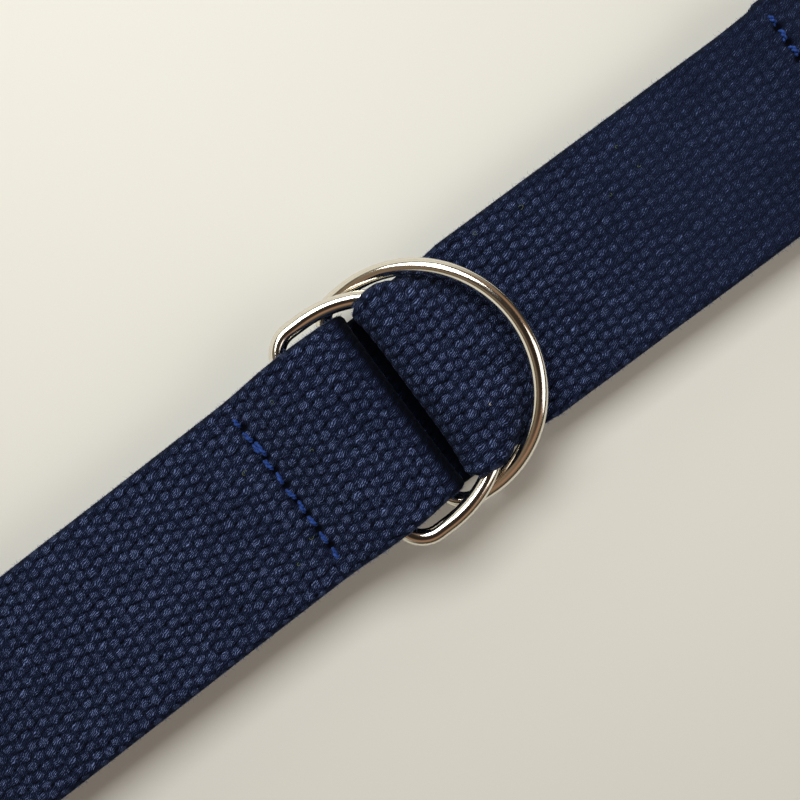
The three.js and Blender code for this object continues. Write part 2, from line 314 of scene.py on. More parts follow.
# the layer under the tongue, back to the rings
turn_end_x = fold_reach + fold_depth
far_tongue_x = end_bend_x - end_rise
lay_strap(mix(end_bend_x, far_tongue_x, 0.5), mix(bend_top, under_level, 0.5), tongue_side)
for share in (0.0, 0.06, 0.3, 0.6, 0.88):
    lay_strap(mix(far_tongue_x, turn_end_x, share), under_level, tongue_side)
# up through both rings, then the tongue over the back one and under the front one
turn_row = len(strap_route)
turn_strap(turn_end_x, (under_level + turn_level) / 2, fold_depth, (turn_level - under_level) / 2,
           270, 90, 8, turn_side, curl=turn_curl, ear=turn_ear, width=turn_pinch,
           opening=turn_opening, drape=1.0)
crest = back_bar_x + ring_depth - 0.25
foot = front_bar_x + ring_depth * math.cos(front_ring_lean) + 1.2


def tongue_height(x):
    share = np.clip((x - crest) / (foot - crest), 0, 1)
    return mix(turn_level, tongue_level, ease(share))


for share, width in ((0.10, 0.970), (0.20, 0.920), (0.30, 0.895), (0.40, 0.910), (0.50, 0.955),
                     (0.60, 0.980), (0.70, 0.990), (0.80, 1.0), (0.90, 1.0), (1.00, 1.0)):
    x = mix(turn_end_x, foot, share)
    lay_strap(x, float(tongue_height(x)), mix(turn_side, tongue_side, share), 0.0, width, 1.0)
for share in (0.1, 0.35, 0.7, 0.93):
    lay_strap(mix(foot, hem_start, share), tongue_level, tongue_side)
# the hem: the tongue's end is turned under
lay_strap(hem_start + 0.1 * hem_length, hem_level, tongue_side)
lay_strap(hem_start + 0.5 * hem_length, hem_level, tongue_side)
hem_bend_row = len(strap_route)
turn_strap(hem_bend_x, (hem_level + tongue_level) / 2, layer_pitch / 2, layer_pitch / 2,
           90, -90, 6, tongue_side)
lay_strap(hem_start + 0.5 * hem_length, tongue_level, tongue_side)
lay_strap(hem_start + 0.13 * hem_length, tongue_level, tongue_side)
strap_route = np.array(strap_route)


def spline_spans(rows):
    """Cubic coefficients of a centripetal curve through the rows, one set per span."""
    padded = np.vstack([2 * rows[0] - rows[1], rows, 2 * rows[-1] - rows[-2]])
    gap = np.sqrt(np.linalg.norm(np.diff(padded, axis=0), axis=1))[:, None]
    before, here, there, after = padded[:-3], padded[1:-2], padded[2:-1], padded[3:]
    gap_before, gap_here, gap_after = gap[:-2], gap[1:-1], gap[2:]
    leave = (here - before) / gap_before - (there - before) / (gap_before + gap_here)
    leave = (leave + (there - here) / gap_here) * gap_here
    arrive = (there - here) / gap_here - (after - here) / (gap_here + gap_after)
    arrive = (arrive + (after - there) / gap_after) * gap_here
    return np.stack([here, leave, -3 * here + 3 * there - 2 * leave - arrive,
                     2 * here - 2 * there + leave + arrive])


strap_spans = spline_spans(strap_route[:, :3])
span_count = len(strap_route) - 1


def strap_stations(at):
    """Place, way, and curl, width and drape at route places, where 2.5 is halfway from row 2 to row 3."""
    span = np.clip(np.floor(at).astype(int), 0, span_count - 1)
    share = (at - span)[:, None]
    a, b, c, d = strap_spans[:, span]
    place = a + share * (b + share * (c + share * d))
    way = b + share * (2 * c + share * 3 * d)
    way /= np.linalg.norm(way, axis=1)[:, None]
    start, end = strap_route[span, 3:], strap_route[span + 1, 3:]
    shape = mix(start, end, ease(share))
    shape[:, 2] = mix(start[:, 2], end[:, 2], share[:, 0])
    return place, way, shape


def strap_middle(at, across):
    """The webbing's middle surface: rows along the route, columns across from -1 to 1."""
    place, way, shape = strap_stations(at)
    left = np.stack([-way[:, 2], way[:, 0]], 1)
    left /= np.linalg.norm(left, axis=1)[:, None]
    curl, width, drape = shape.T[:, :, None]
    sideways = across * webbing_width / 2 * width
    y = place[:, 1:2] + sideways
    lift = curl * np.abs(across) ** 6
    from_arc = y - (front_ring_sideways + back_ring_sideways) / 2
    setback = ring_half_width - np.sqrt(np.maximum(ring_half_width ** 2 - from_arc ** 2, 0))
    x = place[:, 0:1]
    hang = np.where(drape > 0, tongue_height(x + drape * setback) - tongue_height(x), 0)
    return np.stack([x + left[:, 0:1] * lift, y + belt_side, place[:, 2:3] + left[:, 1:2] * lift + hang], 2)


route_steps = 60               # steps from one row of the route to the next
fine_at = np.linspace(0, span_count, span_count * route_steps + 1)
fine_place, fine_way, _ = strap_stations(fine_at)
fine_step_length = np.linalg.norm(np.diff(fine_place, axis=0), axis=1)
fine_length = np.concatenate([[0], np.cumsum(fine_step_length)])
strap_length = fine_length[-1]


def length_at(at):
    return float(np.interp(at, fine_at, fine_length))


def at_length(length):
    return np.interp(length, fine_length, fine_at)


def length_at_x(x, length_from, length_to):
    """The strap's length where it passes x, on a stretch that runs one way."""
    inside = (fine_length >= length_from) & (fine_length <= length_to)
    order = np.argsort(fine_place[inside, 0])
    return float(np.interp(x, fine_place[inside, 0][order], fine_length[inside][order]))


# The stretches that the photograph shows have the weave in their mesh: the sleeve and the front
# layer on one face of the webbing, the tongue and its hem on the other.
sleeve_start = length_at(nose_row + 1.9)
front_end = length_at_x(-99.5, sleeve_start, length_at(left_rise_row))
front_stretch = (sleeve_start, front_end)
tongue_start = length_at(turn_row + 3.3)
tongue_stretch = (tongue_start, length_at(hem_bend_row + 3))
hem_fold = length_at_x(90.6, *tongue_stretch)
hem_flare = 0.55               # the hem is folded double, which leaves its edges a little wider


# The weave: warp yarns lie in pairs, and each floats over one pick and dives under the next, so
# that the floats of a pair alternate. The gaps between the pairs and under the floats are deep.
pick = 2.04
warp = webbing_width / 37
floats = (
    # place in picks and in yarns, half sizes in millimetres, brightness
    {"along": 0.0, "across": 0.0, "half_length": 1.00, "half_width": 0.74, "bright": 1.05},
    {"along": 1.0, "across": -0.65, "half_length": 1.02, "half_width": 0.92, "bright": 0.95},
)
pair_lean = 0.11               # the second float's place across differs this much on the two faces
pair_across = -0.46            # middle of a pair, in yarns
pair_half_width = 1.03
pair_sway = 0.15
pair_height = 0.68
weave_depth = 0.15
weave_crowding = 0.14          # how much closer the picks are in the tongue's turn


def over_turn(rows, values):
    """A value between rows that are counted from the start of the tongue's turn, and 0 elsewhere."""
    return np.interp(fine_at, turn_row + np.array(rows), values, left=0.0, right=0.0)


# the weave's own length, which keeps its pitch in plan where the tongue slopes down
fine_slope = over_turn((8, 9.5, 18), (0.0, 1.0, 1.0))
fine_crowd = 1 + weave_crowding * over_turn((3, 5, 15, 19), (0.0, 1.0, 1.0, 0.0))
fine_step_plan = np.abs(np.diff(fine_place[:, 0]))
fine_shown = mix(fine_step_length, fine_step_plan, fine_slope[1:]) * fine_crowd[1:]
fine_shown = np.concatenate([[0], np.cumsum(fine_shown)])


def shown_length(length):
    return np.interp(length, fine_length, fine_shown)


def wander(x, y, scale, seed):
    """Slow random waves, about -1 to 1, over a plane."""
    waves = 7
    chance = np.random.default_rng(seed)
    total = 0
    for angle, phase, reach in zip(chance.uniform(0, 2 * np.pi, waves), chance.uniform(0, 2 * np.pi, waves),
                                   chance.uniform(0.6, 1.6, waves)):
        total = total + np.sin((x * np.cos(angle) + y * np.sin(angle)) * reach * 2 * np.pi / scale + phase)
    return total / 3.2


def float_height(along, across, face):
    """0 between the pairs to 1 on top of a warp float; along in picks, across in warp yarns."""
    off_pair = across - pair_across - pair_sway * np.cos(np.pi * along)
    off_pair = np.abs(off_pair - 2 * np.round(off_pair / 2)) * warp / pair_half_width
    height = np.clip(1 - off_pair ** 4, 0, 1) ** 0.5 * pair_height
    for row in floats:
        lean = pair_lean * face if row["along"] else 0.0
        off_along = along - row["along"]
        off_across = across - row["across"] - lean
        cell_along = np.round(off_along / 2)
        cell_across = np.round(off_across / 2)
        reach = (np.abs(off_along - 2 * cell_along) * pick / row["half_length"]) ** 2.4
        reach = reach + (np.abs(off_across - 2 * cell_across) * warp / row["half_width"]) ** 2.0
        uneven = np.modf(np.abs(np.sin(cell_along * 12.9898 + cell_across * 78.233) * 43758.5453))[0]
        height = np.maximum(height, np.clip(1 - reach, 0, 1) ** 0.6 * mix(0.75, 1.0, uneven))
    return height


# The strap's mesh has a ring of points for each row along it. A row says which of the webbing's
# faces has fine columns: -1 in the sleeve and the front layer, 1 in the tongue, 0 elsewhere.
fine_step = pick / 5
columns_per_warp = 4
plain_columns = 8              # across the other face of a fine row
coarse_columns = 26            # across both faces of a coarse row
selvedge_steps = 3
selvedge_wrap = 1.45           # how far the weave's place runs on round the selvedge
selvedge_relief = 0.4
plain_sink = 0.55              # how deep the plain face lies, as a share of the weave's depth
weave_ripple = 0.10            # the webbing's own slow unevenness, in millimetres
strap_rows = []


def coarse_rows(start, end):
    length = start
    while length < end - 0.6:
        strap_rows.append((length, 0))
        here = int(np.searchsorted(fine_length, length))
        ahead = int(np.searchsorted(fine_length, length + 3))
        bend = 1 - float(fine_way[here] @ fine_way[min(ahead, len(fine_way) - 1)])
        if bend < 0.0005:
            length += 6.0
        elif bend < 0.01:
            length += 2.5
        else:
            length += 1.0


def fine_rows(start, end, face):
    first = math.ceil(start / fine_step - 0.5)
    last = math.floor(end / fine_step - 0.5)
    for step in range(first, last + 1):
        strap_rows.append(((step + 0.5) * fine_step, face))


coarse_rows(0.0, sleeve_start)
fine_rows(sleeve_start, front_end, -1)
coarse_rows(front_end + 0.6, tongue_start)
fine_rows(tongue_start, strap_length, 1)
strap_rows.append((strap_length, 0))


def strap_ring(fine_face):
    """The webbing's section, once round: across, face, lean outwards, the weave's place, relief."""
    inner = 1 - selvedge_round / (webbing_width / 2)
    edge_y = webbing_width / 2 * inner
    ring = []
    for face in (1, -1):
        if face == fine_face:
            count = round(2 * edge_y / warp * columns_per_warp)
        else:
            count = plain_columns if fine_face else coarse_columns
        for column in range(count + 1):
            across = face * inner * (1 - 2 * column / count)
            ring.append((across, face, 0.0, across * webbing_width / 2, 1.0 if face == fine_face else 0.0))
        for step in range(1, selvedge_steps + 1):
            share = step / (selvedge_steps + 1)
            angle = math.pi * share
            wrap = edge_y + selvedge_wrap * (1 - abs(1 - 2 * share))
            ring.append((-face * mix(inner, 1, math.sin(angle)), face * math.cos(angle),
                         -face * math.sin(angle), -face * wrap, selvedge_relief if fine_face else 0.0))
    return np.array(ring)


rings = {face: strap_ring(face) for face in (-1, 0, 1)}
ring_turn = {}                 # how far round its ring each point is, from 0 to 1
flatness = 10                  # how much longer a step across counts than one through the thickness
for face, ring in rings.items():
    step = np.hypot(np.diff(ring[:, 0], append=ring[0, 0]) * flatness, np.diff(ring[:, 1], append=ring[0, 1]))
    ring_turn[face] = np.concatenate([[0], np.cumsum(step)[:-1]]) / step.sum()


def strap_surface(lengths, ring, fine):
    """Points of the strap's surface with its weave, the weave's places, its relief and the way out."""
    at = at_length(lengths)
    across, thick, lean, weave_y, fineness = ring.T
    middle = strap_middle(at, across[None, :])
    step = 0.02
    onward = strap_middle(np.minimum(at + step, span_count), across[None, :])
    onward = onward - strap_middle(np.maximum(at - step, 0), across[None, :])
    sideways = strap_middle(at, across[None, :] + step) - strap_middle(at, across[None, :] - step)
    sideways /= np.linalg.norm(sideways, axis=2)[:, :, None]
    normal = np.cross(onward, sideways)
    normal /= np.linalg.norm(normal, axis=2)[:, :, None]
    outward = normal * thick[None, :, None] + sideways * lean[None, :, None]
    width = strap_stations(at)[2][:, 1:2]
    shown_along = shown_length(lengths)[:, None] + 0 * across[None, :]
    shown_across = weave_y[None, :] * width
    along = shown_along / pick + 0.09 * wander(shown_along, shown_across, 23, 3)
    along = along + 0.04 * wander(shown_along, shown_across, 4.6, 11)
    across_yarns = shown_across / warp + 0.10 * wander(shown_along, shown_across, 19, 5)
    across_yarns = across_yarns + 0.05 * wander(shown_along, shown_across, 4.1, 13)
    height = float_height(along, across_yarns, thick[None, :])
    relief = fineness[None, :] * fine
    sunk = mix(plain_sink, 1 - height, relief) * weave_depth
    sunk = sunk - weave_ripple * wander(shown_along, shown_across, 31, 7) * relief
    points = middle + normal * (thick * half_thickness)[None, :, None] - outward * sunk[:, :, None]
    flare = np.clip((lengths - hem_fold) / 0.9, 0, 1)[:, None] * np.clip(abs(across) * 6 - 5, 0, 1)
    points = points + sideways * (flare * np.sign(across) * hem_flare)[:, :, None]
    weave = np.stack([along, across_yarns, np.broadcast_to(thick[None, :], along.shape)], 2)
    return points, weave, np.broadcast_to(relief, along.shape), outward


# where the needle went down, beside the ends of the stitches: x and y for each face's row
needle_holes = {
    -1: [(-25.1, y + belt_side) for y in (12.5, 9.3, 5.9, 3.05, -0.1, -3.4, -6.4, -9.7, -13.3)],
    1: [(92.3, 13.7 - 3.27 * n) for n in range(9)],
}
needle_depth = 0.6
needle_length = 0.9
needle_width = 0.8
# how dark the painted shade is in the crevice beside the tongue's turn
crevice_shade = 0.76


def needle_marks(points, relief, face):
    """1 in the middle of each needle hole, down to 0 around it."""
    mark = np.zeros(relief.shape)
    for x, y in needle_holes.get(face, ()):
        away = np.hypot((points[:, :, 0] - x) / needle_length, (points[:, :, 1] - y) / needle_width)
        mark = np.maximum(mark, np.exp(-away ** 3) * (relief > 0))
    return mark


def crevice_painted_shade(points, outward, lengths):
    """Painted shade where little light reaches the webbing: on the sleeve and the layer below, beside the
    turn.
    """
    mark = np.clip((points[:, :, 0] + 3.2) / 3.4, 0, 1) * np.clip(outward[:, :, 2] * 3, 0, 1)
    mark = mark * (lengths < tongue_start - 12)[:, None] * np.clip(9 - points[:, :, 0], 0, 1)
    return ease(mark) * crevice_shade


def zip_rings(first, first_turn, second, second_turn):
    """Triangles between two closed rings that have different numbers of points."""
    made = []
    i = j = 0
    while i < len(first) or j < len(second):
        next_first = first_turn[i + 1] if i + 1 < len(first) else 1.0
        next_second = second_turn[j + 1] if j + 1 < len(second) else 1.0
        a, b = int(first[i % len(first)]), int(second[j % len(second)])
        if j >= len(second) or (i < len(first) and next_first <= next_second):
            made.append([a, int(first[(i + 1) % len(first)]), b])
            i += 1
        else:
            made.append([a, int(second[(j + 1) % len(second)]), b])
            j += 1
    return made


def strap_mesh():
    """The strap's points with the weave's places, relief and the painted shade of its needle holes and
    crevice on them, and its faces.
    """
    points, weaves, reliefs, recess_and_shade_rows, faces = [], [], [], [], []
    last_ring, last_turn = None, None
    count = 0
    for face, rows in itertools.groupby(strap_rows, key=lambda row: row[1]):
        lengths = np.array([length for length, _ in rows])
        block, weave, relief, outward = strap_surface(lengths, rings[face], 1.0 if face else 0.0)
        # The needle holes sink the webbing. They and the crevice beside the tongue's turn are also darkened
        # as painted shade in the base colour.
        hole = needle_marks(block, relief, face)
        block = block - outward * hole[:, :, None] * needle_depth
        hole = np.maximum(hole, crevice_painted_shade(block, outward, lengths))
        index = count + np.arange(hole.size).reshape(hole.shape)
        count += hole.size
        beside = np.roll(index, -1, 1)
        faces.extend(np.stack([index[:-1], beside[:-1], beside[1:], index[1:]], 2).reshape(-1, 4).tolist())
        if last_ring is None:
            faces.append(index[0][::-1].tolist())
        else:
            faces.extend(zip_rings(last_ring, last_turn, index[0], ring_turn[face]))
        last_ring, last_turn = index[-1], ring_turn[face]
        points.append(block.reshape(-1, 3))
        weaves.append(weave.reshape(-1, 3))
        reliefs.append(relief.reshape(-1))
        recess_and_shade_rows.append(hole.reshape(-1))
    faces.append(last_ring.tolist())
    return np.vstack(points), np.vstack(weaves), np.concatenate(reliefs), np.concatenate(recess_and_shade_rows), faces


# Each warp float is a plied yarn of dyed cotton: its strands show as fine slanted streaks of painted
# highlight, broken up by noise, and the holes between the floats are painted almost black as shade. Towards
# its free end the webbing has been handled more, so that its strands are duller.
strand_width = 0.33
strand_slant = math.radians(23)
pair_fray = 2.4
float_fray = 1.5
worn_from, worn_to = (shown_length(length_at_x(x, *tongue_stretch)) / pick for x in (24, 62))


def larger(wire, other):
    return wire.node("Math", {"operation": "MAXIMUM"}, {0: wire, 1: other})


def smaller(wire, other):
    return wire.node("Math", {"operation": "MINIMUM"}, {0: wire, 1: other})


def nearest_whole(wire):
    return wire.node("Math", {"operation": "ROUND"}, {0: wire})


webbing, webbing_shader, maker = start_material("navy_cotton_webbing")
weave = maker.node("Attribute", {"attribute_name": "weave"}, output="Vector")
relief = maker.node("Attribute", {"attribute_name": "relief"}, output="Fac")
hole = maker.node("Attribute", {"attribute_name": "hole"}, output="Fac")
along, across, facing = (maker.node("SeparateXYZ", None, {0: weave}, output=axis) for axis in range(3))
spot = maker.node("CombineXYZ", None, {0: along * pick, 1: across * warp, 2: facing * 5})
fray = maker.node("TexNoise", None, {"Vector": spot, "Scale": 1.9, "Detail": 3.0, "Roughness": 0.7})
speck = maker.node("TexNoise", None, {"Vector": spot, "Scale": 6.5, "Detail": 1.0})
bend = maker.node("TexNoise", None, {"Vector": spot, "Scale": 0.8, "Detail": 1.0})
patch = maker.node("TexNoise", None, {"Vector": spot, "Scale": 0.06, "Detail": 2.0})
gap_shade_noise = maker.node("TexNoise", None, {"Vector": spot, "Scale": 0.95, "Detail": 2.0})
gap_shade_noise = smaller(larger((gap_shade_noise - 0.40) * 6.0, 0), 1)

sway = maker.node("Math", {"operation": "COSINE"}, {0: along * math.pi}) * pair_sway
off_pair = across - pair_across - sway
off_pair = abs(off_pair - nearest_whole(off_pair / 2) * 2) * (warp / pair_half_width)
pair_fill = larger(1 - off_pair ** 3 - (fray - 0.5) * pair_fray, 0) ** 0.7
dome = pair_fill * pair_height
# Painted shade: the base colour is darker between the yarn pairs, darkest where the noise is high, as shade
# falls into the weave.
light = 0.40 - (1 - pair_fill) * (0.10 + 0.34 * gap_shade_noise)
for row in floats:
    off_along = along - row["along"]
    off_across = across - row["across"]
    if row["along"]:
        off_across = off_across - facing * pair_lean
    cell_along = nearest_whole(off_along / 2)
    cell_across = nearest_whole(off_across / 2)
    reach = (abs(off_along - cell_along * 2) * (pick / row["half_length"])) ** 2.4
    reach = reach + (abs(off_across - cell_across * 2) * (warp / row["half_width"])) ** 2.0
    here = larger(1 - reach - (fray - 0.5) * float_fray, 0) ** 0.6
    cell = maker.node("CombineXYZ", None, {0: cell_along, 1: cell_across, 2: row["along"]})
    luck = maker.node("TexWhiteNoise", {"noise_dimensions": "3D"}, {"Vector": cell}, output="Value")
    dome = larger(dome, here)
    light = larger(light, here * (row["bright"] * (0.82 + 0.36 * luck)))

strand_place = across * (warp * math.cos(strand_slant)) - along * facing * (pick * math.sin(strand_slant))
strand_along = along * (pick * math.cos(strand_slant)) + across * facing * (warp * math.sin(strand_slant))
strand = (strand_place / strand_width + bend * 3.0) * (2 * math.pi)
streak = (maker.node("Math", {"operation": "SINE"}, {0: strand}) * 0.5 + 0.5) ** 2.2
strand_spot = maker.node("CombineXYZ", None, {0: strand_along * 1.9, 1: strand_place * 4.0, 2: facing * 4})
broken = maker.node("TexNoise", None, {"Vector": strand_spot, "Scale": 1.3, "Detail": 2.0})
# Painted highlight: the strands' streaks are lit in the base colour, while the shader's own specular and
# sheen are kept low.
shine = streak * larger((broken - 0.30) * 3.4, 0)
worn = maker.node("MapRange", None, {"Value": along, "From Min": worn_from, "From Max": worn_to})
shine = shine * (1 - worn * 0.3) + worn * 0.10
light = light * (1 - worn * 0.6) + worn * 0.235
light = light * (0.15 + 1.0 * shine) * (0.8 + patch * 0.4) * (0.2 + speck * 1.6)
# Painted shade: the base colour is darkened in the needle holes and in the crevice beside the tongue's turn.
light = light * larger(1 - hole * 1.3, 0)
colour = maker.node("ValToRGB", {"stops": [
    (0.0, (0.0008, 0.0014, 0.004)),
    (0.12, (0.0066, 0.0102, 0.028)),
    (0.35, (0.0200, 0.0335, 0.086)),
    (1.0, (0.175, 0.240, 0.48)),
]}, {0: light})
plug(colour, webbing_shader, "Base Color")
bump_height = dome * (1 - relief * 0.75) * weave_depth + dome * streak * 0.12 + speck * 0.05
weave_bump = maker.node("Bump", None, {"Strength": 1.0, "Distance": 0.001, "Height": bump_height})
plug(weave_bump, webbing_shader, "Normal")
webbing_shader.inputs["Roughness"].default_value = 0.9
webbing_shader.inputs["Specular IOR Level"].default_value = 0.05
webbing_shader.inputs["Sheen Weight"].default_value = 0.03
webbing_shader.inputs["Sheen Roughness"].default_value = 0.5
webbing_shader.inputs["Sheen Tint"].default_value = (0.35, 0.42, 0.62, 1)

strap_points, strap_weave, strap_relief, strap_painted_shade, strap_faces = strap_mesh()
strap = make_piece("strap_webbing", strap_points, strap_faces, webbing,
                   [("weave", "FLOAT_VECTOR", strap_weave), ("relief", "FLOAT", strap_relief),
                    ("hole", "FLOAT", strap_painted_shade)])
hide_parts("webbing_strap")

# The sleeve is closed by one row of royal blue thread, the hem by another. Each stitch is two
# plies twisted together, and it pulls the webbing in where the needle went through.
thread_radius = 0.40
ply_offset = thread_radius * 0.5
ply_radius = thread_radius * 0.72
ply_sides = 7
ply_twist = 0.75               # radians from one step of a stitch to the next
stitch_steps = 9
stitch_lift = 0.62
stitch_sink = 0.52
sleeve_stitches = (
    # place along the belt, start and end across it: the third and fourth cross each other
    (-25.3, 14.5, 13.1),
    (-25.2, 11.6, 9.7),
    (-25.2, 8.9, 7.0),
    (-24.5, 9.0, 6.3),
    (-25.2, 5.5, 3.7),
    (-24.9, 2.4, 0.6),
    (-25.0, -0.9, -2.8),
    (-24.8, -3.9, -5.8),
    (-24.8, -7.0, -8.8),
    (-24.9, -10.5, -12.4),
    (-24.9, -14.0, -15.9),
)
hem_stitches = [(92.3, 16.2 - 3.27 * n, 14.4 - 3.27 * n) for n in range(10)]


def surface_at(x, y, stretch, face):
    """The point of the strap's face above or below x, y, on a stretch of the strap, and the way out."""
    length = np.array([length_at_x(x, *stretch)])
    side = float(strap_stations(at_length(length))[0][0, 1])
    across = (y - belt_side - side) / (webbing_width / 2)
    ring = np.array([[across, face, 0.0, across * webbing_width / 2, 0.0]])
    point, _, _, outward = strap_surface(length, ring, 0.0)
    return point[0, 0], outward[0, 0]


def stitch_spine(x, first, last, stretch, face):
    """The middle line of one stitch: it rises out of the webbing, runs across it and dives again."""
    spine = []
    for share in np.linspace(0, 1, stitch_steps + 1):
        lean = (0.5 - share) * 0.35 * math.sin(first * 5)
        foot_point, out = surface_at(x + lean, mix(first, last, share), stretch, face)
        arch = max(math.sin(math.pi * share), 0.0) ** 0.5
        spine.append(foot_point + out * (stitch_lift * arch - stitch_sink))
    return np.array(spine)


def add_ply(points, faces, spine, start_twist):
    """One ply of a stitch, wound round the stitch's middle line."""
    base = len(points)
    for step, centre in enumerate(spine):
        way = spine[min(step + 1, stitch_steps)] - spine[max(step - 1, 0)]
        way /= np.linalg.norm(way)
        side = np.cross(way, (0.05, 0.0, 1.0))
        side /= np.linalg.norm(side)
        up = np.cross(side, way)
        twist = start_twist + step * ply_twist
        centre = centre + (side * math.cos(twist) + up * math.sin(twist)) * ply_offset
        for spoke in range(ply_sides):
            angle = 2 * math.pi * spoke / ply_sides
            points.append(centre + (side * math.cos(angle) + up * math.sin(angle)) * ply_radius)
    add_tube_faces(faces, base, stitch_steps, ply_sides)
    faces.append([base + spoke for spoke in range(ply_sides)])
    faces.append([base + stitch_steps * ply_sides + spoke for spoke in range(ply_sides - 1, -1, -1)])


def add_tube_faces(faces, base, steps, sides):
    """The side faces of a tube whose rings of points start at base."""
    for step in range(steps):
        for spoke in range(sides):
            a = base + step * sides + spoke
            b = base + step * sides + (spoke + 1) % sides
            faces.append([a, a + sides, b + sides, b])


def stitch_row(name, rows, stretch, face, material):
    points, faces = [], []
    for x, first, last in rows:
        spine = stitch_spine(x, first, last, stretch, face)
        for start_twist in (0.0, math.pi):
            add_ply(points, faces, spine, start_twist)
    piece = make_piece(name, points, faces, material)


thread, thread_shader, maker = start_material("royal_blue_thread")
place = maker.node("TexCoord", output="Object")
ply_noise = maker.node("TexNoise", None, {"Vector": place, "Scale": 2500.0, "Detail": 3.0})
thread_colour = maker.node("ValToRGB", {"stops": [
    (0.3, (0.006, 0.020, 0.115)),
    (0.7, (0.030, 0.088, 0.36)),
]}, {0: ply_noise})
plug(thread_colour, thread_shader, "Base Color")
thread_shader.inputs["Roughness"].default_value = 0.55
thread_shader.inputs["Specular IOR Level"].default_value = 0.1
thread_shader.inputs["Sheen Weight"].default_value = 0.03

sleeve_rows = [(x, first + belt_side, last + belt_side) for x, first, last in sleeve_stitches]
stitch_row("sleeve_stitches", sleeve_rows, front_stretch, -1, thread)
stitch_row("hem_stitches", hem_stitches, tongue_stretch, 1, thread)

# Cotton fuzz: loose fibre ends stand out of the selvedges and soften the outline. They are the
# ends of the webbing's own fibres, worked loose by wear.
chance = np.random.default_rng(21)
fuzz_places = 4200             # along each selvedge, half on the front layer and half on the tongue
fuzz_share = 0.34              # of the places, at each of three levels of the selvedge
fuzz_levels = (0.5, 0.0, -0.5)
fuzz_radius = 0.026
fuzz_reach = (0.12, 0.52)
fuzz_long_share = 0.07
fuzz_long_extra = 0.6
fuzz_root = 0.12
fuzz_spread = 0.85
fuzz_curl = 0.9


def random_ways(count):
    ways = chance.normal(size=(count, 3))
    return ways / np.linalg.norm(ways, axis=1)[:, None]


def fibre_mesh(bases, ways, lengths, radius, curl):
    """Bent three-sided fibres of two joints each."""
    second = ways + random_ways(len(ways)) * curl
    second /= np.linalg.norm(second, axis=1)[:, None]
    middle = bases + ways * (lengths * 0.55)[:, None]
    end = middle + second * (lengths * 0.45)[:, None]
    aside = np.cross(ways, random_ways(len(ways)))
    aside /= np.linalg.norm(aside, axis=1)[:, None]
    upward = np.cross(ways, aside)
    points = []
    for place, share in ((bases, 1.0), (middle, 0.9), (end, 0.5)):
        for corner in range(3):
            angle = 2 * math.pi * corner / 3
            points.append(place + (aside * math.cos(angle) + upward * math.sin(angle)) * radius * share)
    points = np.stack(points, 1)
    faces = []
    for fibre in range(len(bases)):
        start = fibre * 9
        for ring in (0, 3):
            for corner in range(3):
                a = start + ring + corner
                b = start + ring + (corner + 1) % 3
                faces.append([a, b, b + 3, a + 3])
        faces.append([start + 2, start + 1, start])
        faces.append([start + 6, start + 7, start + 8])
    return points.reshape(-1, 3), faces


fuzz, fuzz_shader, _ = start_material("loose_cotton_fibre")
fuzz_shader.inputs["Base Color"].default_value = (0.15, 0.20, 0.36, 1)
fuzz_shader.inputs["Roughness"].default_value = 0.9
fuzz_shader.inputs["Specular IOR Level"].default_value = 0.1
fuzz_lengths = np.concatenate([chance.uniform(sleeve_start, front_end, fuzz_places // 2),
                               chance.uniform(tongue_start - 5, strap_length, fuzz_places // 2)])
fuzz_points, fuzz_faces, fuzz_count = [], [], 0
for side in (1, -1):
    for level in fuzz_levels:
        inner_edge = 1 - selvedge_round / (webbing_width / 2)
        bulge = math.sqrt(1 - level * level)
        edge = np.array([[side * mix(inner_edge, 1, bulge), level, side * bulge, 0.0, 0.0]])
        share = fuzz_lengths[chance.uniform(size=len(fuzz_lengths)) < fuzz_share]
        bases, _, _, outward = strap_surface(share, edge, 0.0)
        bases, outward = bases[:, 0], outward[:, 0]
        ways = outward + random_ways(len(share)) * fuzz_spread
        ways /= np.linalg.norm(ways, axis=1)[:, None]
        reach = chance.uniform(*fuzz_reach, len(share))
        reach = reach + (chance.uniform(size=len(share)) > 1 - fuzz_long_share) * fuzz_long_extra
        points, faces = fibre_mesh(bases - outward * fuzz_root, ways, reach, fuzz_radius, fuzz_curl)
        fuzz_points.append(points)
        fuzz_faces.extend((np.array(face) + fuzz_count).tolist() for face in faces)
        fuzz_count += len(points)
fuzz_piece = make_piece("selvedge_fuzz", np.vstack(fuzz_points), fuzz_faces, fuzz)

# Lint: single fibres from other cloth, olive and off-white, that have curled up on the webbing
# and are caught in the weave.
lint_radius = 0.06
lint_joints = 10
lint_sides = 5
lint_joint_turn = 26           # degrees from one joint to the next
lint_height = 0.10
lint_climb = 0.02
lint_rows = (
    # place along and across the belt, curl radius, turn in degrees, colour
    (-29.5, 5.9, 0.50, 20, "olive"),
    (-26.7, -10.2, 0.40, 140, "olive"),
    (-31.4, -12.6, 0.35, 80, "olive"),
    (-17.6, 12.8, 0.42, 210, "olive"),
    (-17.0, 2.0, 0.30, 300, "olive"),
    (28.6, 15.9, 0.42, 60, "olive"),
    (37.7, 14.8, 0.50, 250, "olive"),
    (57.9, 13.3, 0.30, 10, "olive"),
    (59.1, 8.2, 0.28, 100, "olive"),
    (51.9, 7.1, 0.28, 190, "olive"),
    (11.9, -10.5, 0.22, 40, "pale"),
)
lint_looks = {"olive": (0.075, 0.105, 0.050, 1), "pale": (0.42, 0.42, 0.40, 1)}


